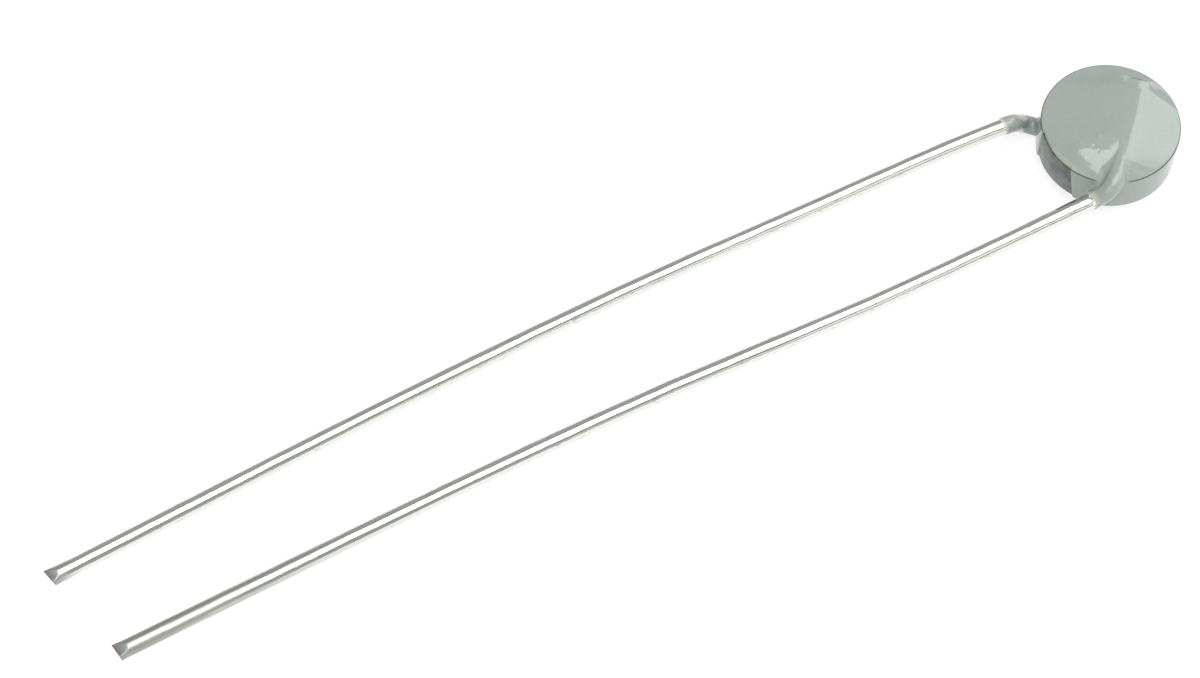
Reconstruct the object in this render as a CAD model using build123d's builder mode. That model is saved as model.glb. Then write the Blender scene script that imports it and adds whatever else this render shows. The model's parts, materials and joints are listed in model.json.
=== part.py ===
from build123d import *

import os
from math import atan2, cos, degrees, radians, sin, sqrt, tan
from typing import NamedTuple

# A disc thermistor: a silvered ceramic disc clamped between two crossed wires, soldered to them and
# dipped in grey lacquer. The lacquer hangs like a tent from the crest over each wire to the disc's rim.
# The part lies level on the lower crest and on its two wire tips.

os.makedirs("parts", exist_ok=True)

# Ceramic disc and its two fired electrodes, in millimetres
ceramic_dia = 5.74
ceramic_thick = 1.66
electrode_margin = 0.22
electrode_thick = 0.03

# Wires, and how they lie at the disc
wire_dia = 0.70
pitch = 5.08
cross_angle = 47.5
solder_film = 0.04
face_run = 5.37
kink_rise = 0.06
arch = 0.50
bend_share = 0.40

# Pinched tips, as side cutters leave them
pinch_length = 0.60
pinch_width = 0.77
pinch_thick = 0.13

# Solder
solder_meniscus = 0.30
solder_bite = 0.02
solder_margin = 0.08
solder_bed = 0.02
solder_setback = 0.12

# Lacquer coat
coat_rim = 0.08
coat_face = 0.09
coat_edge = 0.08
coat_crest = 0.05
coat_wire = 0.035
crest_width = 0.80
crest_rise = 0.45
crest_past = 0.18

# Stretch of the rim where the lacquer has worn off, in degrees round the disc
bare_from = 160
bare_to = 204
bare_edge = 0.05

wire_r = wire_dia / 2
ceramic_r = ceramic_dia / 2
electrode_r = ceramic_r - electrode_margin
coat_r = ceramic_r + coat_rim
electrode_top = ceramic_thick / 2 + electrode_thick
coat_top = electrode_top + coat_face
wire_height = electrode_top + solder_film + wire_r
sleeve_r = wire_r + coat_wire
crest_height = wire_height + wire_r + coat_crest


class LeadForm(NamedTuple):
    """How a lead is bent: each bend of its free run is a share of that run and a drift off the pitch."""

    side: int
    up: int
    free_length: float
    start_inset: float
    start_gap: float
    land_gap: float
    cross_x: float
    start_bend: float
    land_bend: float
    sleeve_start: float
    bends: tuple


front_form = LeadForm(
    side=-1,
    up=1,
    free_length=44.1,
    start_inset=0.04,
    start_gap=0.24,
    land_gap=0.16,
    cross_x=0.96,
    start_bend=0.25,
    land_bend=0.25,
    sleeve_start=-0.10,
    bends=((1.0, -0.52), (0.67, -0.52), (0.445, -0.39), (0.24, 0.09)),
)
rear_form = LeadForm(
    side=1,
    up=-1,
    free_length=44.4,
    start_inset=0.12,
    start_gap=0.87,
    land_gap=0.44,
    cross_x=0.20,
    start_bend=0.45,
    land_bend=0.25,
    sleeve_start=0.30,
    bends=((1.0, -0.385), (0.67, 0.0), (0.42, 0.18), (0.195, 0.02), (0.072, 0.02)),
)


def across(form):
    """Plan direction in which a wire crosses its face of the disc."""
    return Vector(cos(radians(cross_angle)), -form.side * sin(radians(cross_angle)), 0)


def landing(form):
    """Point over the rim where a wire turns on to its face, clear of the ceramic's edge."""
    reach = ceramic_r + wire_r + form.land_gap
    ahead = form.cross_x * cos(radians(cross_angle))
    back = ahead + sqrt(ahead**2 - form.cross_x**2 + reach**2)
    return Vector(form.cross_x, 0, form.up * wire_height) - across(form) * back


def kink_start(form):
    """Point beside the rim where a wire leaves its free run."""
    y = form.side * (pitch / 2 - form.start_inset)
    reach = ceramic_r + wire_r + form.start_gap
    return Vector(-sqrt(max(reach**2 - y**2, 0)), y, form.up * kink_rise)


def lead_points(form):
    """Corners of a lead, from its tip to its cut end on the disc."""
    start = kink_start(form)
    rest = wire_r - crest_height
    points = []
    for share, drift in form.bends:
        sag = 4 * arch * share * (1 - share)
        points.append(
            Vector(
                start.X - form.free_length * share,
                form.side * (pitch / 2 + drift),
                start.Z + (rest - start.Z) * share + sag,
            )
        )
    points += [start, landing(form), landing(form) + across(form) * face_run]
    return points


def bend_radii(points, form):
    """Radius of each corner: long gentle arcs on the free run, tight ones at the kink."""
    radii = []
    for before, corner, after in zip(points[:-4], points[1:-3], points[2:-2]):
        turn = radians((corner - before).get_angle(after - corner))
        shorter = min((corner - before).length, (after - corner).length)
        radii.append(bend_share * shorter / tan(turn / 2))
    return radii + [form.start_bend + wire_r, form.land_bend + wire_r]


def bent_route(points, radii):
    """Straight runs joined by tangent arcs, as far as the end of the last arc."""
    with BuildLine() as route:
        here = points[0]
        for before, corner, after, radius in zip(points, points[1:], points[2:], radii):
            back, ahead = (before - corner).normalized(), (after - corner).normalized()
            half = radians(back.get_angle(ahead)) / 2
            leg = radius / tan(half)
            middle = corner + (back + ahead).normalized() * (radius / sin(half) - radius)
            Line(here, corner + back * leg)
            ThreePointArc(corner + back * leg, middle, corner + ahead * leg)
            here = corner + ahead * leg
    return route.line, here


def round_wire(form, points, radii, radius):
    """Round bar of the given radius along a wire's bends and then straight over its face."""
    route, landed = bent_route(points, radii)
    with BuildPart() as bar:
        with BuildSketch(Plane(origin=points[0], x_dir=(0, 1, 0), z_dir=points[1] - points[0])):
            Circle(radius)
        sweep(path=route)
        with BuildSketch(Plane(origin=landed, x_dir=(0, 0, 1), z_dir=across(form))):
            Circle(radius)
        extrude(amount=(points[-1] - landed).length)
    return bar.part


def make_lead(form):
    """One tinned copper wire, bent to its form, with a pinched tip."""
    points = lead_points(form)
    tip, outward = points[0], (points[0] - points[1]).normalized()
    points[0] = tip - outward * pinch_length
    with BuildPart() as lead:
        add(round_wire(form, points, bend_radii(points, form), wire_r))
        with BuildSketch(Plane(origin=points[0], x_dir=(0, 1, 0), z_dir=outward)):
            Circle(wire_r)
        with BuildSketch(Plane(origin=tip, x_dir=(0, 1, 0), z_dir=outward)):
            Ellipse(pinch_width / 2, pinch_thick / 2)
        loft()
    return lead.part


def make_sleeve(form):
    """Lacquer run down a wire over its kink."""
    points = lead_points(form)
    start = points[-3]
    back = (points[-4] - start).normalized()
    straight = (points[-4] - start).length * (1 - bend_share)
    kink = [start + back * straight, *points[-3:]]
    with BuildPart() as sleeve:
        add(round_wire(form, kink, bend_radii(points, form)[-2:], sleeve_r))
        split(bisect_by=Plane(origin=start + back * form.sleeve_start, z_dir=-back))
    return sleeve.part


def make_electrode(form):
    """Fired silver film on one face of the ceramic."""
    with BuildPart() as electrode:
        with BuildSketch(Plane.XY.offset(form.up * ceramic_thick / 2)):
            Circle(electrode_r)
        extrude(amount=form.up * electrode_thick)
    return electrode.part


def solder_section():
    """Section across a wire on its face: two hollow curves up to the wire's middle, and a bed below."""
    height = wire_height - electrode_top
    reach = wire_r - solder_bite + solder_meniscus
    foot = sqrt(reach**2 - (solder_meniscus - height) ** 2)
    lean = degrees(atan2(solder_meniscus - height, foot))
    with BuildSketch() as section:
        with BuildLine():
            right = CenterArc((foot, solder_meniscus), solder_meniscus, -90, lean - 90)
            left = CenterArc((-foot, solder_meniscus), solder_meniscus, -90, 90 - lean)
            Line(right @ 1, left @ 1)
            Polyline(left @ 0, (-foot, -solder_bed), (foot, -solder_bed), right @ 0)
        make_face()
    return section.sketch


def draw_solder(form):
    """Solder drawn up both sides of a wire, before the wire and the electrode are taken out of it."""
    ahead, off_face = across(form), Vector(0, 0, form.up)
    end = lead_points(form)[-1] - ahead * solder_setback
    foot_of_end = Vector(end.X, end.Y, form.up * electrode_top)
    with BuildPart() as drawn:
        with BuildSketch(Plane(origin=foot_of_end, x_dir=off_face.cross(ahead), z_dir=ahead)):
            add(solder_section())
        extrude(amount=-face_run)
        Cylinder(electrode_r - solder_margin, 4 * crest_height, mode=Mode.INTERSECT)
    return drawn.part


def make_solder(form, drawn, lead):
    """Solder that stands on an electrode round its wire."""
    with BuildPart() as solder:
        add(drawn)
        split(bisect_by=Plane(origin=(0, 0, form.up * electrode_top), z_dir=(0, 0, form.up)))
        add(lead, mode=Mode.SUBTRACT)
    return solder.part


def rim_entry(form):
    """Length of a wire on its face from its landing to where it crosses the rim."""
    start = landing(form)
    back = -start.dot(across(form))
    aside = start.X**2 + start.Y**2 - back**2
    return back - sqrt(coat_r**2 - aside)


def draw_tent(form):
    """Lacquer that hangs from an oval crest over a wire down to the rim of the disc."""
    along, off_face = across(form), (0, 0, form.up)
    first, last = rim_entry(form) + crest_rise, face_run + crest_past
    middle = landing(form) + along * (first + last) / 2
    crest_middle = (middle.X, middle.Y, form.up * crest_height)
    with BuildPart() as tent:
        with BuildSketch(Plane(origin=(0, 0, form.up * coat_top), x_dir=along, z_dir=off_face)):
            Circle(coat_r - coat_edge)
        with BuildSketch(Plane(origin=crest_middle, x_dir=along, z_dir=off_face)):
            Ellipse((last - first) / 2, crest_width / 2)
        loft(ruled=True)
    return tent.part


def draw_bare_patch():
    """Stretch of the rim where the ceramic shows, from the edge of one face to the edge of the other."""
    turn = bare_to - bare_from
    with BuildPart() as patch:
        with BuildSketch(Plane.XY.offset(-crest_height)):
            with BuildLine():
                inner = CenterArc((0, 0), ceramic_r - bare_edge, bare_from, turn)
                outer = CenterArc((0, 0), coat_r + coat_rim, bare_from, turn)
                Line(inner @ 0, outer @ 0)
                Line(inner @ 1, outer @ 1)
            make_face()
        extrude(amount=2 * crest_height)
    return patch.part


lead_front = make_lead(front_form)
lead_rear = make_lead(rear_form)
electrode_front = make_electrode(front_form)
electrode_rear = make_electrode(rear_form)
drawn_front = draw_solder(front_form)
drawn_rear = draw_solder(rear_form)
solder_front = make_solder(front_form, drawn_front, lead_front)
solder_rear = make_solder(rear_form, drawn_rear, lead_rear)

with BuildPart() as ceramic_disc:
    Cylinder(ceramic_r, ceramic_thick)

# The lacquer is drawn solid, and then all that it covers is taken out of it
with BuildPart() as coating:
    Cylinder(coat_r, 2 * coat_top)
    chamfer(edges().filter_by(GeomType.CIRCLE), coat_edge)
    add([draw_tent(front_form), draw_tent(rear_form)])
    add(draw_bare_patch(), mode=Mode.SUBTRACT)
    add([make_sleeve(front_form), make_sleeve(rear_form)])
    add([ceramic_disc.part, electrode_front, electrode_rear], mode=Mode.SUBTRACT)
    add([drawn_front, drawn_rear, lead_front, lead_rear], mode=Mode.SUBTRACT)

pieces = {
    "ceramic_disc": ceramic_disc.part,
    "electrode_front": electrode_front,
    "electrode_rear": electrode_rear,
    "solder_front": solder_front,
    "solder_rear": solder_rear,
    "lead_front": lead_front,
    "lead_rear": lead_rear,
    "coating": coating.part,
}

# The origin is the middle of the whole part's box, on the surface that it lies on
box = Compound(list(pieces.values())).bounding_box()
middle = box.center()
for name, piece in pieces.items():
    placed = piece.moved(Location((-middle.X, -middle.Y, -box.min.Z)))
    placed.label = name
    export_step(placed, f"parts/{name}.step")
    print(name, "solids", len(piece.solids()), "volume", round(piece.volume, 5))
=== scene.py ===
"""Looks of a disc thermistor: lacquered ceramic disc on two crossed tinned wires, lying on a pale floor."""

import json
import logging
import math
from dataclasses import dataclass, field
from enum import Enum
from typing import Sequence

import bmesh
import bpy
import numpy as np
from mathutils import Matrix, Quaternion, Vector

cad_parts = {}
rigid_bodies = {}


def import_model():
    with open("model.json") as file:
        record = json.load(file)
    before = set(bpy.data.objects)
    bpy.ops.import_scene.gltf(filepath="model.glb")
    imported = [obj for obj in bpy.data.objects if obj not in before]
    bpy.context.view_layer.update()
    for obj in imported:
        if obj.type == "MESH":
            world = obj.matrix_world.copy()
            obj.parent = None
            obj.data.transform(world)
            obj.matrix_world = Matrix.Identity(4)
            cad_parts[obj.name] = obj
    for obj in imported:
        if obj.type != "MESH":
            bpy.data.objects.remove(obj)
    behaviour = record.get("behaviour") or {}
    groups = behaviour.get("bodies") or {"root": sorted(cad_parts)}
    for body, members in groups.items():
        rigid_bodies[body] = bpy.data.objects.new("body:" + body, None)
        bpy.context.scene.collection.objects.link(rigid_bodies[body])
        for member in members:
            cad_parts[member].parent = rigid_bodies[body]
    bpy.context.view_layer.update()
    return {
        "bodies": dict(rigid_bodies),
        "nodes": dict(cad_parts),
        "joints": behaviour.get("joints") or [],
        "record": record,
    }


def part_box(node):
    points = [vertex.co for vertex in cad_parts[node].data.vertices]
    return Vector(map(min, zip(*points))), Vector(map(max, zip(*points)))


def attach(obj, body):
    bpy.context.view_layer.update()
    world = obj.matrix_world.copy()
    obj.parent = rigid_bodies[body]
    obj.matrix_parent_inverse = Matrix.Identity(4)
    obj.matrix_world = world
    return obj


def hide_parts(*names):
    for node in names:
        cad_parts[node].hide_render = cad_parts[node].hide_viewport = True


MM = 0.001
ROOT = "root"

log = logging.getLogger("thermistor")


class Side(Enum):
    """Face of the disc that a wire crosses, as the sign of its height."""

    FRONT = 1
    REAR = -1


def linear(red: int, green: int, blue: int) -> tuple[float, float, float, float]:
    """Turn a colour as it shows on a screen, 0 to 255, into a shader's linear colour."""
    shares = (value / 255 for value in (red, green, blue))
    return (*(s / 12.92 if s <= 0.04045 else ((s + 0.055) / 1.055) ** 2.4 for s in shares), 1.0)


@dataclass(frozen=True)
class DiscSizes:
    """Sizes of the lacquered disc and of the wires at it, in millimetres from the disc's middle."""

    ceramic_radius: float = 2.87
    ceramic_half: float = 0.83
    rim_radius: float = 2.95
    rim_height: float = 0.94
    rim_round: float = 0.05
    wire_radius: float = 0.35
    film: float = 0.035
    bare_from: float = 160.0
    bare_to: float = 204.0
    bare_depth: float = 0.10


@dataclass(frozen=True)
class Pinch:
    """How side cutters left a wire's tip: two facets that meet in an edge of bare copper."""

    lift: float
    reach_out: float
    skew: float
    half_edge: float = 0.05
    roll: float = -15.0
    tilt: float = 0.50
    upper_length: float = 0.38
    lower_length: float = 0.60
    flare: float = 0.06


@dataclass(frozen=True)
class Route:
    """Course of one wire: corners from its tip to its cut end, and the radius of each bend between."""

    side: Side
    corners: tuple[tuple[float, float, float], ...]
    radii: tuple[float, ...]
    film_end: float
    dull_length: float
    crest_start: float
    kink_reach: float
    pinch: Pinch

    def points(self) -> list[Vector]:
        """Give the corners as vectors."""
        return [Vector(corner) for corner in self.corners]

    def landing(self) -> np.ndarray:
        """Give the corner where the wire turns on to its face."""
        return np.array(self.corners[-2])

    def cut_end(self) -> np.ndarray:
        """Give the wire's cut end on its face."""
        return np.array(self.corners[-1])

    def ahead(self) -> np.ndarray:
        """Give the direction in which the wire crosses its face."""
        run = self.cut_end() - self.landing()
        return run / np.linalg.norm(run)

    def centreline(self, step: float, arc_step: float) -> np.ndarray:
        """Follow the wire's middle from tip to cut end.

        Args:
            step: Distance between stations on a straight run.
            arc_step: Angle between stations on a bend, in radians.

        Returns:
            One row of x, y and z for each station.
        """
        corners = self.points()
        stations = [corners[0]]
        for before, corner, after, radius in zip(corners, corners[1:], corners[2:], self.radii):
            back, ahead = (before - corner).normalized(), (after - corner).normalized()
            half = back.angle(ahead) / 2
            leg = radius / math.tan(half)
            centre = corner + (back + ahead).normalized() * radius / math.sin(half)
            start, end = corner + back * leg, corner + ahead * leg
            stations += self.straight(stations[-1], start, step)
            turn = math.pi - 2 * half
            count = max(2, round(turn / arc_step))
            axis = (start - centre).cross(end - centre).normalized()
            for i in range(1, count + 1):
                spoke = Quaternion(axis, turn * i / count) @ (start - centre)
                stations.append(centre + spoke)
        stations += self.straight(stations[-1], corners[-1], step)
        return np.array([tuple(station) for station in stations])

    @staticmethod
    def straight(start: Vector, end: Vector, step: float) -> list[Vector]:
        """Divide a straight run into even steps, leaving out its first point."""
        count = max(1, round((end - start).length / step))
        return [start.lerp(end, i / count) for i in range(1, count + 1)]


FRONT_ROUTE = Route(
    side=Side.FRONT,
    corners=(
        (-46.492, -2.02, -1.30),
        (-31.939, -2.02, -0.409),
        (-22.016, -2.15, -0.051),
        (-12.976, -2.63, 0.098),
        (-2.27, -2.49, 0.06),
        (-1.711, -2.915, 1.25),
        (1.917, 1.044, 1.25),
    ),
    radii=(280.0, 163.0, 106.0, 0.26, 0.60),
    film_end=-2.47,
    dull_length=14.0,
    crest_start=0.80,
    kink_reach=0.34,
    pinch=Pinch(lift=0.10, reach_out=0.17, skew=0.13),
)
REAR_ROUTE = Route(
    side=Side.REAR,
    corners=(
        (-47.697, 2.155, -1.30),
        (-33.045, 2.54, -0.449),
        (-21.945, 2.72, -0.094),
        (-11.955, 2.56, 0.012),
        (-6.494, 2.56, -0.016),
        (-3.297, 2.42, -0.06),
        (-2.362, 2.796, -1.25),
        (1.266, -1.163, -1.25),
    ),
    radii=(318.0, 206.0, 195.0, 57.0, 0.80, 0.60),
    film_end=-3.82,
    dull_length=1.5,
    crest_start=1.05,
    kink_reach=0.50,
    pinch=Pinch(lift=0.12, reach_out=0.10, skew=0.19),
)


def soft_min(a: np.ndarray, b: np.ndarray, reach: np.ndarray) -> np.ndarray:
    """Join two surfaces with a hollow fillet, whose reach may change from place to place."""
    mix = np.maximum(reach - np.abs(a - b), 0) / reach
    return np.minimum(a, b) - mix * mix * reach / 4


def round_max(a: np.ndarray, b: np.ndarray, radius: float) -> np.ndarray:
    """Meet two surfaces in an edge rounded to the given radius."""
    outer = np.hypot(np.maximum(a + radius, 0), np.maximum(b + radius, 0))
    return outer + np.minimum(np.maximum(a, b) + radius, 0) - radius


def ease(value: np.ndarray) -> np.ndarray:
    """Rise smoothly from 0 to 1 as value does."""
    share = np.clip(value, 0, 1)
    return share * share * (3 - 2 * share)


def distance_to_line(points: np.ndarray, line: np.ndarray) -> np.ndarray:
    """Find how far points are from a line of stations.

    Args:
        points: One row of x, y and z for each point.
        line: The stations in order.

    Returns:
        The distance of each point from its nearest place on the line.
    """
    best = np.full(len(points), np.inf)
    for start, end in zip(line[:-1], line[1:]):
        run = end - start
        length = float(np.linalg.norm(run))
        share = np.clip((points - start) @ run / length**2, 0, 1)
        gap = np.linalg.norm(points - start - share[:, None] * run, axis=1)
        best = np.minimum(best, gap)
    return best


@dataclass(frozen=True)
class Blob:
    """Small bump or dent in the lacquer of the upper face, in millimetres."""

    x: float
    y: float
    radius: float
    height: float


@dataclass(frozen=True)
class EndFall:
    """How the lacquer's fall past a cut end changes away from the wire: over what width, and how much
    sooner it starts and longer it takes there."""

    width: float
    sooner: float
    longer: float


@dataclass
class LacquerSurface:
    """Outer surface of the lacquer, as a function that is negative inside it."""

    sizes: DiscSizes
    routes: tuple[Route, Route]
    crest_height: float = 1.645
    crest_round: float = 0.35
    left_bluntness: float = 0.30
    crest_left: float = 2.4
    crest_right: float = 1.4
    crest_blend: float = 0.5
    least_reach: float = 0.1
    share_limit: float = 1.3
    kink_bulge: float = 0.8
    bulge_width: float = 0.8
    bulge_end: float = 2.8
    bulge_fade: float = 1.4
    end_sink: float = 0.08
    end_run: float = 0.60
    end_low: float = 1.20
    end_skew: float = 0.124
    end_half_width: float = 0.32
    end_length: float = 0.25
    right_fall: EndFall = EndFall(0.6, 0.50, 1.0)
    left_fall: EndFall = EndFall(0.35, 0.45, 0.9)
    film_start: float = 0.03
    film_fade: float = 0.10
    dive_depth: float = 0.25
    dive_run: float = 0.5
    worn_edge: float = 3.25
    worn_slant: float = 3.6
    face_steepness: float = 0.95
    least_fillet: float = 0.01
    fillet_top: float = 1.60
    fillet_fade: float = 0.3
    longest_move: float = 0.08
    blobs: tuple[Blob, ...] = (
        Blob(-1.59, -0.32, 0.07, 0.022),
        Blob(-1.41, -0.58, 0.06, -0.018),
        Blob(-1.30, -0.43, 0.05, 0.016),
        Blob(-1.07, -0.58, 0.10, 0.035),
        Blob(-1.46, -0.92, 0.07, -0.020),
        Blob(-1.43, -1.20, 0.05, -0.014),
        Blob(-1.95, -0.60, 0.45, 0.035),
    )
    lines: dict[Side, np.ndarray] = field(default_factory=dict)

    def __post_init__(self) -> None:
        """Keep the stretch of each wire whose lacquer stands free of the disc."""
        for route in self.routes:
            line = route.centreline(0.25, math.radians(6))
            on_face = (line - route.landing()) @ route.ahead()
            free = (line[:, 0] > route.film_end - 1.2) & (on_face < self.crest_left + 0.6)
            self.lines[route.side] = line[free]

    def tent(self, x: np.ndarray, y: np.ndarray, route: Route) -> np.ndarray:
        """Hang the lacquer between a wire's crest and the rim.

        Args:
            x: Places along the wires' free runs.
            y: Places across them.
            route: Wire under the tent.

        Returns:
            Height of the lacquer above the disc's middle at each place.
        """
        landing, ahead = route.landing(), route.ahead()
        aside = (x - landing[0]) * ahead[1] - (y - landing[1]) * ahead[0]
        along = (x - landing[0]) * ahead[0] + (y - landing[1]) * ahead[1]
        length = float((route.cut_end() - landing) @ ahead)
        first = self.crest_left + (self.crest_right - self.crest_left) * ease(aside / self.crest_blend + 0.5)
        walked = np.clip(along, first, length)
        foot_x, foot_y = landing[0] + walked * ahead[0], landing[1] + walked * ahead[1]
        gap = np.maximum(np.hypot(x - foot_x, y - foot_y), 1e-6)
        out_x, out_y = (x - foot_x) / gap, (y - foot_y) / gap
        inward = foot_x * out_x + foot_y * out_y
        radius = self.sizes.rim_radius
        reach = -inward + np.sqrt(np.maximum(inward**2 - foot_x**2 - foot_y**2 + radius**2, 0))
        share = self.share_to_rim(gap, reach, aside, along)
        crest = self.crest_height - self.end_sink * ease((walked - length) / self.end_run + 1)
        rim = self.sizes.rim_height
        near = crest - (crest - rim) * share
        far = self.end_low - (self.end_low - rim) * share
        return near + (far - near) * self.fallen(aside, along - length)

    def share_to_rim(
        self, gap: np.ndarray, reach: np.ndarray, aside: np.ndarray, along: np.ndarray
    ) -> np.ndarray:
        """Work out how far down the lacquer is, from the rounded crest to the rim.

        Args:
            gap: Distance from the crest.
            reach: Distance from the crest to the rim, in the same direction.
            aside: Distance from the wire's line, positive on the right.
            along: Distance from the corner where the wire lands.

        Returns:
            0 on the crest, 1 at the rim.
        """
        bluntness = self.crest_round + self.left_bluntness * ease(-aside / self.crest_blend)
        rounded = np.hypot(gap, bluntness) - bluntness
        share = rounded / (np.hypot(np.maximum(reach, self.least_reach), bluntness) - bluntness)
        on_left = ease(0.5 - aside / self.bulge_width)
        fuller = self.kink_bulge * on_left * ease((self.bulge_end - along) / self.bulge_fade)
        return np.minimum(share, self.share_limit) ** (1 + fuller)

    def fallen(self, aside: np.ndarray, past: np.ndarray) -> np.ndarray:
        """Work out how far the lacquer has come down beyond a wire's cut end.

        Args:
            aside: Distance from the wire's line, positive on the right.
            past: Distance beyond the cut end.

        Returns:
            0 over the wire, 1 where the lacquer is down.
        """
        right, left = self.right_fall, self.left_fall
        spread = ease((np.abs(aside) - self.end_half_width) / np.where(aside > 0, right.width, left.width))
        begun = past - self.end_skew * aside + np.where(aside > 0, right.sooner, left.sooner) * spread
        return ease(begun / (self.end_length + np.where(aside > 0, right.longer, left.longer) * spread))

    def film(self, points: np.ndarray, route: Route) -> np.ndarray:
        """Wrap a wire's kink in lacquer, which thins out on the lead and dives under the tent.

        Args:
            points: One row of x, y and z for each point.
            route: Wire under the lacquer.

        Returns:
            Each point's height above the wrap.
        """
        gap = distance_to_line(points, self.lines[route.side])
        wobble = 0.03 * np.sin(9 * points[:, 1] + 2.0) + 0.02 * np.sin(17 * points[:, 2] + 1.0)
        covered = ease((points[:, 0] - route.film_end - wobble) / self.film_fade)
        on_face = (points - route.landing()) @ route.ahead()
        dive = self.dive_depth * ease((on_face - self.crest_left) / self.dive_run)
        start = self.film_start
        radius = self.sizes.wire_radius - start + (self.sizes.film + start) * covered - dive
        return np.maximum(gap - radius, route.film_end - 0.5 - points[:, 0])

    def worn_wall(self, x: np.ndarray, y: np.ndarray, z: np.ndarray) -> np.ndarray:
        """Wear the lacquer off part of the wall, up to an edge that slants down it.

        Args:
            x: Places along the wires' free runs.
            y: Places across them.
            z: Heights above the disc's middle.

        Returns:
            Depth of the wear at each place.
        """
        turn = np.degrees(np.arctan2(y, x)) % 360
        ragged = 0.5 * np.sin(turn * 0.9) + 0.4 * np.sin(turn * 2.3 + 1)
        end = self.sizes.bare_to + self.worn_edge - self.worn_slant * z + 0.2 * ragged
        bare = ease((turn - self.sizes.bare_from) / 1.0) * ease((end - turn) / 0.7)
        return self.sizes.bare_depth * bare

    def __call__(self, points: np.ndarray) -> np.ndarray:
        """Give each point's height above the surface.

        Args:
            points: One row of x, y and z for each point.

        Returns:
            The heights, roughly in millimetres.
        """
        x, y, z = points.T
        wall = np.hypot(x, y) - self.sizes.rim_radius + self.worn_wall(x, y, z)
        front, rear = (self.tent(x, y, route) for route in self.routes)
        for blob in self.blobs:
            front = front + blob.height * np.exp(-((x - blob.x) ** 2 + (y - blob.y) ** 2) / blob.radius**2)
        faces = np.where(z > 0, z - front, -z - rear)
        body = round_max(wall, faces * self.face_steepness, self.sizes.rim_round)
        for route in self.routes:
            below_crest = ease((self.fillet_top - z * route.side.value) / self.fillet_fade)
            reach = self.least_fillet + route.kink_reach * below_crest
            body = soft_min(body, self.film(points, route), reach)
        return body

    def settle(self, points: np.ndarray, rounds: int = 6) -> np.ndarray:
        """Move points on to the surface along its steepest direction.

        Args:
            points: Points near the surface.
            rounds: How many times each point is moved.

        Returns:
            The settled points.
        """
        for _ in range(rounds):
            slope = self.slope(points)
            steep = np.maximum((slope**2).sum(axis=1), 0.05)
            move = (self(points) / steep)[:, None] * slope
            longest = np.linalg.norm(move, axis=1)
            points = points - move * np.minimum(1, self.longest_move / np.maximum(longest, 1e-9))[:, None]
        return points

    def slope(self, points: np.ndarray) -> np.ndarray:
        """Differentiate the surface function at each point.

        Args:
            points: One row of x, y and z for each point.

        Returns:
            The direction in which the function rises fastest, one row for each point.
        """
        step = 1e-3
        columns = [(self(points + shift) - self(points - shift)) / (2 * step) for shift in np.eye(3) * step]
        return np.stack(columns, axis=1)


@dataclass(frozen=True)
class Shades:
    """Shader builder that keeps one material's node tree at hand."""

    material: bpy.types.Material

    @staticmethod
    def new(name: str) -> "Shades":
        """Start a material with an empty node tree."""
        material = bpy.data.materials.new(name)
        material.use_nodes = True
        material.node_tree.nodes.clear()
        return Shades(material)

    def node(self, kind: str, inputs: dict[str, object] | None = None, **settings: object) -> bpy.types.Node:
        """Add a node.

        Args:
            kind: Blender's name for the node.
            inputs: Value or socket for each input, by its name or number.
            settings: The node's own fields.

        Returns:
            The node.
        """
        made = self.material.node_tree.nodes.new(kind)
        for key, value in settings.items():
            setattr(made, key, value)
        for key, value in (inputs or {}).items():
            socket = made.inputs[int(key)] if key.isdigit() else made.inputs[key]
            if isinstance(value, bpy.types.NodeSocket):
                self.material.node_tree.links.new(value, socket)
            else:
                socket.default_value = value
        return made

    def math(self, operation: str, *values: object) -> bpy.types.NodeSocket:
        """Work out one number from others."""
        inputs = {str(i): value for i, value in enumerate(values)}
        return self.node("ShaderNodeMath", inputs, operation=operation).outputs[0]

    def band(self, value: bpy.types.NodeSocket, low: float, high: float) -> bpy.types.NodeSocket:
        """Turn value into 0 below low and 1 above high, with a smooth rise, or a fall if low is higher."""
        settings = {"Value": value, "From Min": low, "From Max": high}
        made = self.node("ShaderNodeMapRange", settings, interpolation_type="SMOOTHSTEP")
        return made.outputs[0]

    def mix(self, share: object, first: object, second: object) -> bpy.types.NodeSocket:
        """Mix two colours."""
        made = self.node("ShaderNodeMix", {"0": share, "6": first, "7": second}, data_type="RGBA")
        return made.outputs[2]

    def attribute(self, name: str) -> bpy.types.NodeSocket:
        """Read one of the mesh's own values."""
        return self.node("ShaderNodeAttribute", attribute_name=name).outputs["Fac"]

    def noise(self, place: bpy.types.NodeSocket, scale: float, detail: float = 3.0) -> bpy.types.NodeSocket:
        """Give an even noise of the given scale."""
        inputs = {"Vector": place, "Scale": scale, "Detail": detail}
        return self.node("ShaderNodeTexNoise", inputs).outputs["Fac"]

    def place(self, origin: Vector) -> bpy.types.NodeSocket:
        """Give the place on the piece, from an origin, in the script's millimetres.

        Args:
            origin: Point of the row's frame from which the places are measured.

        Returns:
            The socket that gives the place.
        """
        inputs = {
            "Vector": self.node("ShaderNodeTexCoord").outputs["Object"],
            "Location": tuple(-part * (1 / MM) for part in origin),
            "Scale": (1 / MM,) * 3,
        }
        return self.node("ShaderNodeMapping", inputs).outputs[0]

    def along(self, vector: bpy.types.NodeSocket, way: np.ndarray) -> bpy.types.NodeSocket:
        """Measure a vector along a direction."""
        inputs = {"0": vector, "1": tuple(float(part) for part in way)}
        return self.node("ShaderNodeVectorMath", inputs, operation="DOT_PRODUCT").outputs["Value"]

    def finish(self, shader: bpy.types.NodeSocket) -> bpy.types.Material:
        """Link the last shader to the output."""
        self.node("ShaderNodeOutputMaterial", {"Surface": shader})
        return self.material


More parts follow.
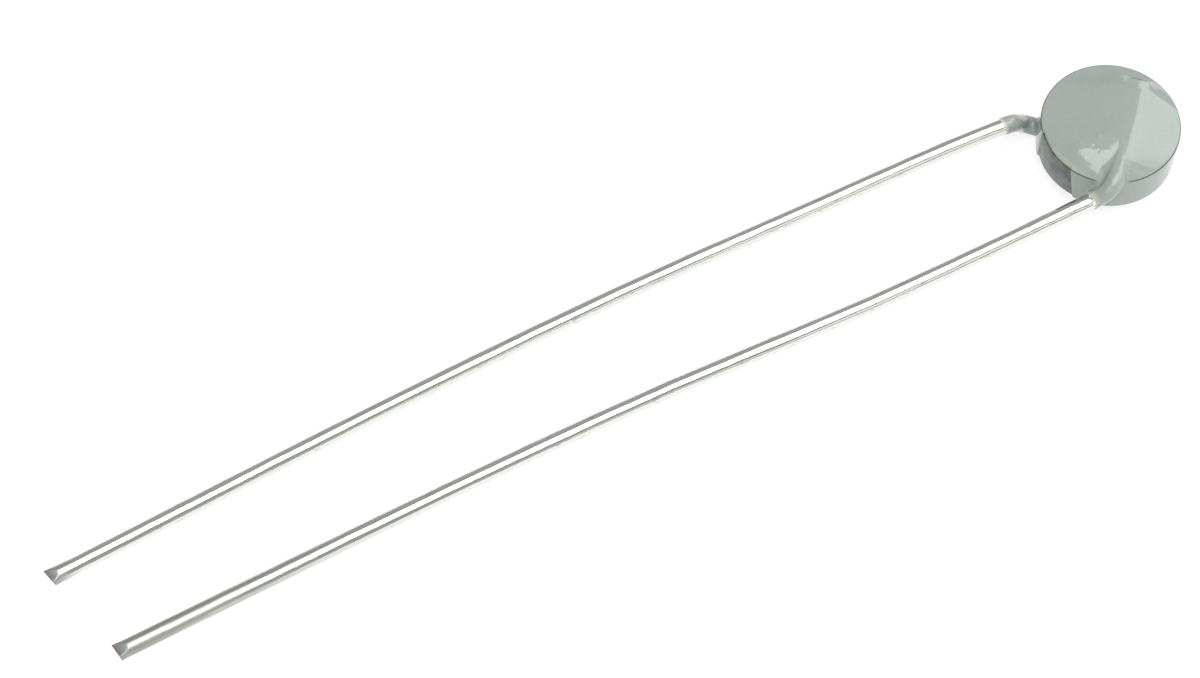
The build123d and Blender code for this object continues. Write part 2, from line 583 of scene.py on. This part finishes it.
@dataclass(frozen=True)
class LacquerFinish:
    """Glossy grey dip lacquer, thin and dark on the ceramic's sharp rim."""

    body: tuple[float, ...] = linear(145, 152, 145)
    body_cool: tuple[float, ...] = linear(139, 149, 144)
    rim_line: tuple[float, ...] = linear(52, 66, 68)
    tan: tuple[float, ...] = linear(176, 170, 144)
    copper: tuple[float, ...] = linear(120, 102, 90)
    brown: tuple[float, ...] = linear(96, 76, 54)
    thin_end: tuple[float, ...] = linear(206, 200, 184)
    roughness: float = 0.09
    ior: float = 1.58
    rim_inset: float = 0.01
    line_edges: tuple[float, float] = (0.055, 0.02)
    speckle_share: float = 0.10
    tan_share: float = 0.42
    line_share: float = 0.9
    stain_place: tuple[float, float, float] = (-2.76, -0.96, 0.90)
    stain_radius: float = 0.09

    def make(self, centre: Vector, sizes: DiscSizes, front: Route) -> bpy.types.Material:
        """Build the material.

        Args:
            centre: Middle of the disc in the row's frame.
            sizes: Sizes that place the rim line.
            front: Wire whose cut end shows through the lacquer.

        Returns:
            The finished material.
        """
        shades = Shades.new("grey_lacquer")
        place = shades.place(centre)
        parts = shades.node("ShaderNodeSeparateXYZ", {"Vector": place})
        x, y, z = parts.outputs
        across = self.length_of(shades, x, y)
        aside = shades.math("SUBTRACT", across, sizes.rim_radius - self.rim_inset)
        above = shades.math("SUBTRACT", shades.math("ABSOLUTE", z), sizes.rim_height - self.rim_inset)
        off_rim = self.length_of(shades, aside, above)
        line = shades.math("MULTIPLY", shades.band(off_rim, *self.line_edges), shades.attribute("bare"))
        speckle = shades.band(shades.noise(place, 26.0, 2.0), 0.62, 0.40)
        colour = shades.mix(shades.noise(place, 1.3), self.body, self.body_cool)
        colour = shades.mix(shades.math("MULTIPLY", speckle, self.speckle_share), colour, self.rim_line)
        colour = shades.mix(shades.math("MULTIPLY", shades.attribute("tan"), self.tan_share), colour, self.tan)
        colour = shades.mix(shades.math("MULTIPLY", line, self.line_share), colour, self.rim_line)
        colour = shades.mix(self.cut_line(shades, place, front), colour, self.copper)
        colour = shades.mix(self.stain(shades, place), colour, self.brown)
        colour = shades.mix(shades.attribute("thin"), colour, self.thin_end)
        grain = shades.noise(place, 14.0)
        bump = shades.node("ShaderNodeBump", {"Height": grain, "Strength": 0.10, "Distance": 0.002 * MM})
        shader = shades.node(
            "ShaderNodeBsdfPrincipled",
            {"Base Color": colour, "Roughness": self.roughness, "IOR": self.ior, "Normal": bump.outputs[0]},
        )
        return shades.finish(shader.outputs[0])

    @staticmethod
    def length_of(shades: Shades, a: bpy.types.NodeSocket, b: bpy.types.NodeSocket) -> bpy.types.NodeSocket:
        """Give the length of the slope with the two sides a and b."""
        squares = shades.math("ADD", shades.math("POWER", a, 2), shades.math("POWER", b, 2))
        return shades.math("SQRT", squares)

    @staticmethod
    def cut_line(shades: Shades, place: bpy.types.NodeSocket, route: Route) -> bpy.types.NodeSocket:
        """Show bare copper along the top edge of the wire's cut end.

        Args:
            shades: Builder of the lacquer's material.
            place: Place on the lacquer, in millimetres from the disc's middle.
            route: Wire whose cut end shows.

        Returns:
            The share of copper.
        """
        ends = {"0": place, "1": tuple(route.cut_end())}
        offset = shades.node("ShaderNodeVectorMath", ends, operation="SUBTRACT").outputs[0]
        past = shades.along(offset, route.ahead())
        aside = shades.along(offset, np.cross(route.ahead(), (0, 0, 1)))
        height = shades.along(offset, np.array((0, 0, 1)))
        on_edge = shades.band(shades.math("ABSOLUTE", past), 0.045, 0.02)
        in_width = shades.band(shades.math("ABSOLUTE", aside), 0.36, 0.30)
        high = shades.band(height, 0.08, 0.13)
        return shades.math("MULTIPLY", shades.math("MULTIPLY", on_edge, in_width), high)

    def stain(self, shades: Shades, place: bpy.types.NodeSocket) -> bpy.types.NodeSocket:
        """Show a small round stain on the rim."""
        gap = shades.node("ShaderNodeVectorMath", {"0": place, "1": self.stain_place}, operation="DISTANCE")
        return shades.band(gap.outputs["Value"], self.stain_radius, self.stain_radius * 0.4)


@dataclass(frozen=True)
class WireFinish:
    """Drawn tinned wire: bright metal with fine streaks along it and dull marks at its cut tip."""

    tin: tuple[float, ...] = linear(224, 228, 221)
    dull: tuple[float, ...] = linear(146, 148, 142)
    copper: tuple[float, ...] = linear(158, 130, 110)
    polish: float = 0.07
    wear: float = 0.50
    dirt_share: float = 0.5
    dull_share: float = 0.80

    def make(self) -> bpy.types.Material:
        """Build the material on the wire's own map, in millimetres along and around it.

        Returns:
            The finished material.
        """
        shades = Shades.new("tinned_wire")
        place = shades.node("ShaderNodeUVMap", uv_map="along_around").outputs[0]
        long_waves = shades.node("ShaderNodeMapping", {"Vector": place, "Scale": (0.35, 2.2, 1.0)}).outputs[0]
        short_waves = shades.node("ShaderNodeMapping", {"Vector": place, "Scale": (1.5, 6.0, 1.0)}).outputs[0]
        waves = shades.noise(long_waves, 1.0, 2.0)
        scars = shades.noise(short_waves, 1.0, 3.0)
        pits = shades.noise(place, 7.0, 3.0)
        tip = shades.attribute("tip")
        dirt = shades.band(scars, 0.58, 0.74)
        marks = shades.math("MULTIPLY", tip, shades.band(pits, 0.42, 0.60))
        dull = shades.math("MULTIPLY", shades.attribute("dull"), shades.band(waves, 0.15, 0.52))
        worn = shades.math("MAXIMUM", shades.math("MULTIPLY", dirt, self.dirt_share), marks)
        worn = shades.math("MAXIMUM", worn, shades.math("MULTIPLY", dull, self.dull_share))
        colour = shades.mix(worn, self.tin, self.dull)
        length = shades.node("ShaderNodeSeparateXYZ", {"Vector": place}).outputs[0]
        edge = shades.band(shades.math("ADD", length, shades.math("MULTIPLY", pits, 0.05)), 0.07, 0.045)
        colour = shades.mix(edge, colour, self.copper)
        rough = shades.math("ADD", self.polish, shades.math("MULTIPLY", worn, self.wear))
        height = shades.math("ADD", shades.math("MULTIPLY", waves, 3.0), shades.math("MULTIPLY", scars, 0.9))
        height = shades.math("ADD", height, shades.math("MULTIPLY", shades.math("MULTIPLY", tip, pits), 5.0))
        bump = shades.node("ShaderNodeBump", {"Height": height, "Strength": 0.6, "Distance": 0.006 * MM})
        shader = shades.node(
            "ShaderNodeBsdfPrincipled",
            {"Base Color": colour, "Metallic": 1.0, "Roughness": rough, "Normal": bump.outputs[0]},
        )
        return shades.finish(shader.outputs[0])


@dataclass(frozen=True)
class GrainFinish:
    """A finish with a fine even grain, for the faces under the lacquer and the wires' cut faces."""

    name: str
    light: tuple[float, ...]
    dark: tuple[float, ...]
    grain: float
    metallic: float
    roughness: float

    def make(self, centre: Vector) -> bpy.types.Material:
        """Build the material.

        Args:
            centre: Point from which the grain is laid out.

        Returns:
            The finished material.
        """
        shades = Shades.new(self.name)
        place = shades.place(centre)
        grain = shades.noise(place, self.grain, 4.0)
        colour = shades.mix(shades.band(grain, 0.35, 0.65), self.dark, self.light)
        bump = shades.node("ShaderNodeBump", {"Height": grain, "Strength": 0.3, "Distance": 0.01 * MM})
        shader = shades.node(
            "ShaderNodeBsdfPrincipled",
            {
                "Base Color": colour,
                "Metallic": self.metallic,
                "Roughness": self.roughness,
                "Normal": bump.outputs[0],
            },
        )
        return shades.finish(shader.outputs[0])


CERAMIC = GrainFinish("thermistor_ceramic", linear(96, 100, 96), linear(66, 71, 69), 2.6, 0.0, 0.28)
SILVER = GrainFinish("fired_silver", linear(214, 210, 200), linear(180, 176, 166), 12.0, 1.0, 0.4)
SOLDER = GrainFinish("solder", linear(196, 196, 192), linear(158, 158, 154), 5.0, 1.0, 0.3)
COPPER_CUT = GrainFinish("copper_cut", linear(176, 122, 96), linear(120, 78, 62), 14.0, 1.0, 0.35)


def add_attribute(mesh: bpy.types.Mesh, name: str, values: np.ndarray) -> None:
    """Store one number for each vertex of a mesh."""
    attribute = mesh.attributes.new(name, "FLOAT", "POINT")
    attribute.data.foreach_set("value", values.astype(np.float32))


def vertex_places(mesh: bpy.types.Mesh) -> np.ndarray:
    """Read a mesh's vertices.

    Args:
        mesh: Mesh to read.

    Returns:
        One row of x, y and z for each vertex.
    """
    places = np.empty(len(mesh.vertices) * 3, np.float32)
    mesh.vertices.foreach_get("co", places)
    return places.reshape(-1, 3).astype(float)


def put_vertices(mesh: bpy.types.Mesh, places: np.ndarray) -> None:
    """Write a mesh's vertices back."""
    mesh.vertices.foreach_set("co", places.astype(np.float32).ravel())
    mesh.update()


def new_piece(name: str, mesh: bpy.types.Mesh, centre: Vector, replaced: str) -> bpy.types.Object:
    """Bring a mesh built in millimetres round the disc into the row's frame, as a piece on the root.

    Args:
        name: Name of the piece.
        mesh: Mesh in millimetres from the disc's middle.
        centre: Middle of the disc in the row's frame.
        replaced: Solid that the piece stands for.

    Returns:
        The piece.
    """
    mesh.transform(Matrix.Translation(centre) @ Matrix.Scale(MM, 4))
    mesh.update()
    piece = bpy.data.objects.new(name, mesh)
    bpy.context.scene.collection.objects.link(piece)
    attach(piece, ROOT)
    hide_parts(replaced)
    log.info("%s has %d faces", name, len(mesh.polygons))
    return piece


def frames_along(line: np.ndarray) -> list[Matrix]:
    """Set a frame on each station of a line, turned as little as possible from one to the next.

    Args:
        line: The stations in order.

    Returns:
        One matrix for each station, whose Z runs along the line.
    """
    stations = [Vector(station) for station in line]
    ways = [(b - a).normalized() for a, b in zip(stations, stations[1:])]
    middles = [ways[0], *((a + b).normalized() for a, b in zip(ways, ways[1:])), ways[-1]]
    turned = middles[0].to_track_quat("Z", "Y")
    frames = []
    for i, (station, way) in enumerate(zip(stations, middles)):
        if i:
            turned = middles[i - 1].rotation_difference(way) @ turned
        frames.append(Matrix.Translation(station) @ turned.to_matrix().to_4x4())
    return frames


def sweep_ring(bm: bmesh.types.BMesh, frames: Sequence[Matrix], radius: float, segments: int) -> None:
    """Extrude a ring along frames into a closed round bar.

    Args:
        bm: Mesh to add the bar to.
        frames: Frames whose Z runs along the bar.
        radius: Radius of the bar.
        segments: Number of sides.
    """
    settings = {"cap_ends": True, "segments": segments, "radius": radius, "matrix": frames[0]}
    ring = bmesh.ops.create_circle(bm, **settings)["verts"]
    edges = list(dict.fromkeys(edge for vert in ring for edge in vert.link_edges))
    faces = list(dict.fromkeys(face for vert in ring for face in vert.link_faces))
    bmesh.ops.reverse_faces(bm, faces=faces)
    for before, after in zip(frames, frames[1:]):
        made = bmesh.ops.extrude_edge_only(bm, edges=edges)["geom"]
        verts = [item for item in made if isinstance(item, bmesh.types.BMVert)]
        edges = [item for item in made if isinstance(item, bmesh.types.BMEdge)]
        bmesh.ops.transform(bm, matrix=after @ before.inverted(), verts=verts)
    bmesh.ops.holes_fill(bm, edges=edges, sides=segments)


@dataclass
class WireLead:
    """One tinned wire, from its pinched tip to its cut end on the disc."""

    name: str
    replaced: str
    route: Route
    sizes: DiscSizes
    centre: Vector
    tin: bpy.types.Material
    copper: bpy.types.Material
    segments: int = 48
    tip_run: float = 1.0
    tip_step: float = 0.02
    end_top: float = 0.265
    end_run: float = 0.55

    def stations(self) -> np.ndarray:
        """Place the rings: close together at the tip, where the cutter has pinched the wire.

        Returns:
            One row of x, y and z for the middle of each ring.
        """
        line = self.route.centreline(0.12, math.radians(4))
        start, way = line[0], (line[1] - line[0]) / np.linalg.norm(line[1] - line[0])
        close = start + np.arange(0, self.tip_run, self.tip_step)[:, None] * way
        return np.vstack([close, line[(line - start) @ way > self.tip_run]])

    def build(self) -> bpy.types.Object:
        """Build the wire and dress it.

        Returns:
            The wire.
        """
        line = self.stations()
        frames = frames_along(line)
        bm = bmesh.new()
        sweep_ring(bm, frames, self.sizes.wire_radius, self.segments)
        bmesh.ops.recalc_face_normals(bm, faces=bm.faces)
        mesh = bpy.data.meshes.new(self.name)
        bm.to_mesh(mesh)
        bm.free()
        self.shape(mesh, line, frames)
        mesh.materials.append(self.tin)
        mesh.materials.append(self.copper)
        for polygon in mesh.polygons:
            capping = len(polygon.vertices) > 4
            polygon.material_index = 1 if capping else 0
            polygon.use_smooth = not capping
        return new_piece(self.name, mesh, self.centre, self.replaced)

    def shape(self, mesh: bpy.types.Mesh, line: np.ndarray, frames: Sequence[Matrix]) -> None:
        """Wear the wire a little, chisel its cut end, pinch its tip and map it.

        Args:
            mesh: Mesh of the bar, in rings.
            line: Stations of the rings.
            frames: Frames of the rings.
        """
        lengths = np.concatenate([[0], np.cumsum(np.linalg.norm(np.diff(line, axis=0), axis=1))])
        places = vertex_places(mesh)
        turned = np.array([frame.to_3x3() for frame in frames])
        ring = np.arange(len(places)) // self.segments
        off = places - line[ring]
        local = np.einsum("nij,ni->nj", turned[ring], off)
        up = frames[0].to_3x3().transposed() @ Vector((0, 0, 1))
        angle = np.arctan2(local[:, 1], local[:, 0]) - math.atan2(up.y, up.x)
        angle = (angle + math.pi) % (2 * math.pi) - math.pi
        along = lengths[ring]
        off = off * (1 + self.dents(along, angle) / self.sizes.wire_radius)[:, None]
        beyond = lengths[-1] - along
        face = self.route.side.value
        rise = off[:, 2] * face
        limit = self.end_top + (self.sizes.wire_radius - self.end_top) * np.minimum(beyond / self.end_run, 1)
        off[:, 2] = np.where(beyond < self.end_run, np.minimum(rise, limit) * face, off[:, 2])
        near = along < self.tip_run
        off[near] = self.pinched(off[near], along[near], turned[0][:, 2])
        put_vertices(mesh, line[ring] + off)
        add_attribute(mesh, "tip", np.clip(1.15 - along / self.route.pinch.upper_length, 0, 1))
        add_attribute(mesh, "dull", ease(1 - along / self.route.dull_length))
        self.map_around(mesh, along, angle)

    @staticmethod
    def dents(along: np.ndarray, angle: np.ndarray) -> np.ndarray:
        """Give how far the wire stands out of true.

        Args:
            along: Length of the wire from its tip to each vertex.
            angle: Turn of each vertex round the wire, from its top.

        Returns:
            The height of each vertex above a true round bar, in millimetres.
        """
        slow = 0.0030 * np.sin(1.9 * along + 1.3) * np.cos(angle - 0.4 * along)
        middle = 0.0016 * np.sin(4.7 * along + 2 * angle) + 0.0012 * np.sin(0.8 * along + 3 * angle + 0.5)
        return slow + middle

    def pinched(self, off: np.ndarray, along: np.ndarray, way: np.ndarray) -> np.ndarray:
        """Press rings at the tip between the two facets.

        Args:
            off: Place of each vertex from the wire's middle.
            along: Length of the wire from its tip to each vertex.
            way: Direction of the wire from its tip.

        Returns:
            The moved places.
        """
        pinch, radius = self.route.pinch, self.sizes.wire_radius
        upright = np.array((0.0, 0.0, 1.0)) - way * way[2]
        upright /= np.linalg.norm(upright)
        sideways = np.cross(upright, way)
        roll = math.radians(pinch.roll)
        press = upright * math.cos(roll) + sideways * math.sin(roll)
        flat = np.cross(press, way)
        height, width = off @ press, off @ flat
        top = pinch.lift + pinch.half_edge - pinch.tilt * width
        top = top + (radius - top) * along / pinch.upper_length
        bottom = pinch.lift - pinch.half_edge
        bottom = bottom - (radius + bottom) * along / pinch.lower_length
        moved = np.clip(height, bottom, top) - height
        share = np.clip(1 - along / pinch.upper_length, 0, 1)
        spread = width * pinch.flare * share
        slant = pinch.skew * share * (1 - width / radius) / 2 - pinch.reach_out * share
        return off + moved[:, None] * press + spread[:, None] * flat + slant[:, None] * way

    def map_around(self, mesh: bpy.types.Mesh, along: np.ndarray, angle: np.ndarray) -> None:
        """Lay the map on the wire, in millimetres along and around it, cut open along its underside.

        Args:
            mesh: Mesh of the wire.
            along: Length of the wire from its tip to each vertex.
            angle: Turn of each vertex round the wire, from its top.
        """
        layer = mesh.uv_layers.new(name="along_around")
        corners = np.empty(len(mesh.loops), np.int32)
        mesh.loops.foreach_get("vertex_index", corners)
        around = angle[corners]
        starts = np.array([polygon.loop_start for polygon in mesh.polygons])
        first = np.repeat(around[starts], np.diff(np.append(starts, len(corners))))
        around = np.where(around - first > math.pi, around - 2 * math.pi, around)
        around = np.where(around - first < -math.pi, around + 2 * math.pi, around)
        values = np.stack([along[corners], around * self.sizes.wire_radius], axis=1)
        layer.data.foreach_set("uv", values.astype(np.float32).ravel())


@dataclass
class CeramicBody:
    """The pressed ceramic disc, which shows where the lacquer has worn off its wall."""

    sizes: DiscSizes
    centre: Vector
    finish: bpy.types.Material
    segments: int = 256
    edge: float = 0.03
    glaze: float = 0.03

    def build(self) -> bpy.types.Object:
        """Build the disc with its two edges broken, and dress it.

        Returns:
            The disc.
        """
        bm = bmesh.new()
        radius, depth = self.sizes.ceramic_radius + self.glaze, 2 * self.sizes.ceramic_half
        bmesh.ops.create_cone(
            bm, cap_ends=True, segments=self.segments, radius1=radius, radius2=radius, depth=depth
        )
        rims = [edge for edge in bm.edges if any(len(face.verts) > 4 for face in edge.link_faces)]
        bmesh.ops.bevel(
            bm, geom=rims, offset=self.edge, segments=3, profile=0.5, affect="EDGES", material=-1
        )
        mesh = bpy.data.meshes.new("ceramic_body")
        bm.to_mesh(mesh)
        bm.free()
        for polygon in mesh.polygons:
            polygon.use_smooth = len(polygon.vertices) <= 4
        mesh.materials.append(self.finish)
        return new_piece("ceramic_body", mesh, self.centre, "ceramic_disc")


@dataclass(frozen=True)
class TanArc:
    """Arc of the upper rim, in degrees round the disc, where the lacquer is thin enough to look tan."""

    inner: float = 2.70
    start: float = 172.0
    end: float = 212.0
    low: float = 0.8
    high: float = 1.3

    def share(self, places: np.ndarray) -> np.ndarray:
        """Give the share of tan.

        Args:
            places: One row of x, y and z for each vertex.

        Returns:
            The share at each vertex.
        """
        x, y, z = places.T
        across, turn = np.hypot(x, y), np.degrees(np.arctan2(y, x)) % 360
        tan = ease((across - self.inner) / 0.12) * ease((turn - self.start) / 12) * ease((self.end - turn) / 14)
        return tan * (z > self.low) * (z < self.high)


@dataclass
class LacquerCoat:
    """The lacquer: a rough block of the disc, its tents and its sleeves, settled on to the true surface."""

    surface: LacquerSurface
    sizes: DiscSizes
    centre: Vector
    voxel: float = 0.045
    overlap: float = 0.1
    thin_run: float = 0.22
    thin_share: float = 0.8
    meniscus: float = 0.52
    meniscus_fade: float = 0.25
    tan: TanArc = TanArc()

    def block(self) -> bpy.types.Mesh:
        """Put the rough block together from overlapping closed shapes.

        Returns:
            The block, whose parts are not joined yet.
        """
        bm = bmesh.new()
        for route in self.surface.routes:
            self.add_tent(bm, route)
            self.add_wire_end(bm, route)
            line = self.surface.lines[route.side]
            line = line[line[:, 0] > route.film_end - 0.45]
            sweep_ring(bm, frames_along(line), self.sizes.wire_radius + self.sizes.film, 32)
        bmesh.ops.recalc_face_normals(bm, faces=bm.faces)
        mesh = bpy.data.meshes.new("lacquer_block")
        bm.to_mesh(mesh)
        bm.free()
        return mesh

    def add_tent(self, bm: bmesh.types.BMesh, route: Route) -> None:
        """Add half of the disc with the tent that hangs between its rim and a wire's crest.

        Args:
            bm: Mesh to add the tent to.
            route: Wire under the tent.
        """
        end, start = route.cut_end(), route.landing() + route.ahead() * route.crest_start
        up = route.side.value
        made = []
        for height in (-self.overlap * up, self.sizes.rim_height * up):
            place = Matrix.Translation((0, 0, height))
            radius = self.sizes.rim_radius
            made += bmesh.ops.create_circle(bm, segments=96, radius=radius, matrix=place)["verts"]
        for x, y in (start[:2], end[:2]):
            place = Matrix.Translation((x, y, self.surface.crest_height * up))
            made += bmesh.ops.create_circle(bm, segments=16, radius=0.1, matrix=place)["verts"]
        hull = bmesh.ops.convex_hull(bm, input=made)
        bmesh.ops.delete(bm, geom=hull["geom_interior"], context="VERTS")

    def add_wire_end(self, bm: bmesh.types.BMesh, route: Route) -> None:
        """Add the last stretch of the covered wire, up to its cut end.

        Args:
            bm: Mesh to add the stretch to.
            route: Wire that is covered.
        """
        line = route.centreline(0.25, math.radians(6))
        line = line[(route.cut_end() - line) @ route.ahead() < 1.0]
        sweep_ring(bm, frames_along(line), self.sizes.wire_radius, 32)

    def remeshed(self, block: bpy.types.Mesh) -> bpy.types.Mesh:
        """Cover the block with one even skin.

        Args:
            block: The rough block.

        Returns:
            The skin.
        """
        holder = bpy.data.objects.new("lacquer_block", block)
        bpy.context.scene.collection.objects.link(holder)
        remesh = holder.modifiers.new("skin", "REMESH")
        remesh.mode = "VOXEL"
        remesh.voxel_size = self.voxel
        remesh.adaptivity = 0
        graph = bpy.context.evaluated_depsgraph_get()
        mesh = bpy.data.meshes.new_from_object(holder.evaluated_get(graph))
        bpy.data.objects.remove(holder)
        mesh.name = "lacquer"
        return mesh

    def build(self) -> bpy.types.Object:
        """Build the coat and dress it.

        Returns:
            The coat.
        """
        mesh = self.remeshed(self.block())
        put_vertices(mesh, self.surface.settle(vertex_places(mesh)))
        self.relax(mesh)
        places = self.surface.settle(vertex_places(mesh), rounds=3)
        put_vertices(mesh, places)
        self.mark(mesh, places)
        mesh.polygons.foreach_set("use_smooth", [True] * len(mesh.polygons))
        mesh.materials.append(LacquerFinish().make(self.centre, self.sizes, self.surface.routes[0]))
        return new_piece("lacquer_coat", mesh, self.centre, "coating")

    @staticmethod
    def relax(mesh: bpy.types.Mesh) -> None:
        """Even out the skin's faces before it is settled again.

        Args:
            mesh: Mesh of the coat.
        """
        bm = bmesh.new()
        bm.from_mesh(mesh)
        for _ in range(2):
            bmesh.ops.smooth_vert(
                bm, verts=bm.verts, factor=0.5, use_axis_x=True, use_axis_y=True, use_axis_z=True
            )
        bm.to_mesh(mesh)
        bm.free()

    def mark(self, mesh: bpy.types.Mesh, places: np.ndarray) -> None:
        """Store where the lacquer is free of menisci, thin or tan.

        Args:
            mesh: Mesh of the coat.
            places: Its vertices in millimetres from the disc's middle.
        """
        gaps = []
        thin = np.zeros(len(places))
        for route in self.surface.routes:
            gap = distance_to_line(places, self.surface.lines[route.side])
            gaps.append(gap)
            on_lead = gap < self.sizes.wire_radius + 0.1
            thin = np.maximum(thin, on_lead * (1 - ease((places[:, 0] - route.film_end) / self.thin_run)))
        near = np.minimum(*gaps)
        add_attribute(mesh, "bare", ease((near - self.meniscus) / self.meniscus_fade))
        add_attribute(mesh, "thin", thin * self.thin_share)
        add_attribute(mesh, "tan", self.tan.share(places))


@dataclass(frozen=True)
class Panel:
    """A soft lamp overhead: its sides as shares of its height, and its radiance."""

    name: str
    left: float
    right: float
    front: float
    back: float
    radiance: float


@dataclass
class Studio:
    """Floor, lamps, world and camera."""

    centre: Vector
    camera_place: Vector = Vector((-53.21, -56.24, 118.49))
    camera_right: Vector = Vector((0.8886, -0.4586, 0.0))
    camera_up: Vector = Vector((0.4027, 0.7803, 0.4784))
    camera_back: Vector = Vector((-0.2194, -0.4251, 0.8781))
    lens: float = 99.0
    panel_height: float = 200.0
    panels: tuple[Panel, ...] = (
        Panel("left_panel", -0.46, 0.30, -0.15, 0.24, 3.4),
        Panel("left_low_panel", -0.54, 0.30, -0.78, -0.15, 3.4),
        Panel("back_strip", 0.14, 0.42, 0.24, 0.35, 2.4),
        Panel("middle_panel", 0.30, 1.10, -0.20, 0.24, 2.8),
        Panel("far_panel", 1.10, 2.90, -0.20, 1.20, 2.4),
        Panel("fading_panel", 0.30, 1.30, -0.42, -0.20, 2.2),
        Panel("front_panel", 0.30, 1.30, -0.81, -0.42, 1.5),
        Panel("side_window", 1.30, 4.0, -1.2, -0.20, 1.0),
        Panel("front_card", 0.40, 1.50, -6.0, -1.30, 0.60),
        Panel("left_card", -5.0, -0.70, -4.0, 0.0, 1.15),
    )
    room: float = 0.52
    paper: float = 0.27
    paper_glow: float = 0.78
    white: float = 0.85
    floor_size: float = 500.0

    def build(self) -> None:
        """Set everything up."""
        self.add_camera()
        for panel in self.panels:
            self.add_panel(panel)
        self.add_world()
        self.add_floor()
        bpy.context.scene.view_settings.view_transform = "Standard"

    def at(self, x: float, y: float, z: float) -> Vector:
        """Turn millimetres from the disc's middle into the row's frame."""
        return self.centre + Vector((x, y, z)) * MM

    def add_camera(self) -> None:
        """Add the camera where the photograph was taken from."""
        data = bpy.data.cameras.new("camera")
        data.lens, data.sensor_width, data.sensor_fit = self.lens, 36.0, "HORIZONTAL"
        data.clip_start, data.clip_end = 0.001, 10.0
        camera = bpy.data.objects.new("camera", data)
        columns = Matrix((self.camera_right, self.camera_up, self.camera_back)).transposed()
        camera.matrix_world = Matrix.Translation(self.at(*self.camera_place)) @ columns.normalized().to_4x4()
        bpy.context.scene.collection.objects.link(camera)
        bpy.context.scene.camera = camera

    def add_panel(self, panel: Panel) -> None:
        """Add one soft lamp overhead.

        Args:
            panel: The lamp's place, size and radiance.
        """
        height = self.panel_height
        wide = (panel.right - panel.left) * height * MM
        deep = (panel.back - panel.front) * height * MM
        data = bpy.data.lights.new(panel.name, "AREA")
        data.shape, data.size, data.size_y = "RECTANGLE", wide, deep
        data.energy = panel.radiance * math.pi * wide * deep
        lamp = bpy.data.objects.new(panel.name, data)
        middle_x = (panel.right + panel.left) / 2 * height
        middle_y = (panel.back + panel.front) / 2 * height
        lamp.location = self.at(middle_x, middle_y, height)
        bpy.context.scene.collection.objects.link(lamp)

    def add_world(self) -> None:
        """Make the room dim to the object and white to the camera."""
        world = bpy.data.worlds.new("room")
        bpy.context.scene.world = world
        world.use_nodes = True
        tree = world.node_tree
        tree.nodes.clear()
        path = tree.nodes.new("ShaderNodeLightPath")
        strength = tree.nodes.new("ShaderNodeMapRange")
        strength.inputs["To Min"].default_value = self.room
        strength.inputs["To Max"].default_value = 1.0
        background = tree.nodes.new("ShaderNodeBackground")
        output = tree.nodes.new("ShaderNodeOutputWorld")
        tree.links.new(path.outputs["Is Camera Ray"], strength.inputs["Value"])
        tree.links.new(strength.outputs[0], background.inputs["Strength"])
        tree.links.new(background.outputs[0], output.inputs["Surface"])

    def add_floor(self) -> None:
        """Add the floor: plain white paper to the object, and to the camera and in gloss a white floor with
        a faint shadow."""
        bm = bmesh.new()
        bmesh.ops.create_grid(bm, x_segments=1, y_segments=1, size=self.floor_size * MM)
        mesh = bpy.data.meshes.new("floor")
        bm.to_mesh(mesh)
        bm.free()
        floor = bpy.data.objects.new("floor", mesh)
        bpy.context.scene.collection.objects.link(floor)
        shades = Shades.new("white_floor")
        glow = shades.node("ShaderNodeEmission", {"Color": (1, 1, 1, 1), "Strength": self.paper_glow})
        paper = shades.node("ShaderNodeBsdfDiffuse", {"Color": (*(self.paper,) * 3, 1)})
        both = shades.node("ShaderNodeAddShader", {"0": glow.outputs[0], "1": paper.outputs[0]})
        plain = shades.node("ShaderNodeBsdfDiffuse", {"Color": (*(self.white,) * 3, 1)})
        path = shades.node("ShaderNodeLightPath").outputs
        mirrored = shades.math("MAXIMUM", path["Is Glossy Ray"], path["Is Transmission Ray"])
        seen = shades.math("MAXIMUM", path["Is Camera Ray"], mirrored)
        looks = {"0": seen, "1": plain.outputs[0], "2": both.outputs[0]}
        mesh.materials.append(shades.finish(shades.node("ShaderNodeMixShader", looks).outputs[0]))


def dress_inner_pieces(nodes: dict[str, bpy.types.Object], centre: Vector) -> None:
    """Give the pieces under the lacquer their finishes.

    Args:
        nodes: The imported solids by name.
        centre: Middle of the disc in the row's frame.
    """
    silver, solder = SILVER.make(centre), SOLDER.make(centre)
    finishes = {
        "electrode_front": silver,
        "electrode_rear": silver,
        "solder_front": solder,
        "solder_rear": solder,
    }
    for name, finish in finishes.items():
        nodes[name].data.materials.clear()
        nodes[name].data.materials.append(finish)
        log.info("%s is finished as %s", name, finish.name)


def main() -> None:
    """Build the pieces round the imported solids, then the studio."""
    logging.basicConfig(level=logging.INFO, format="%(name)s: %(message)s")
    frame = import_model()
    low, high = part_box("ceramic_disc")
    centre = (low + high) / 2
    sizes = DiscSizes()
    routes = (FRONT_ROUTE, REAR_ROUTE)
    tin, copper = WireFinish().make(), COPPER_CUT.make(centre)
    dress_inner_pieces(frame["nodes"], centre)
    CeramicBody(sizes, centre, CERAMIC.make(centre)).build()
    WireLead("wire_front", "lead_front", FRONT_ROUTE, sizes, centre, tin, copper).build()
    WireLead("wire_rear", "lead_rear", REAR_ROUTE, sizes, centre, tin, copper).build()
    LacquerCoat(LacquerSurface(sizes, routes), sizes, centre).build()
    Studio(centre).build()


if __name__ == "__main__":
    main()
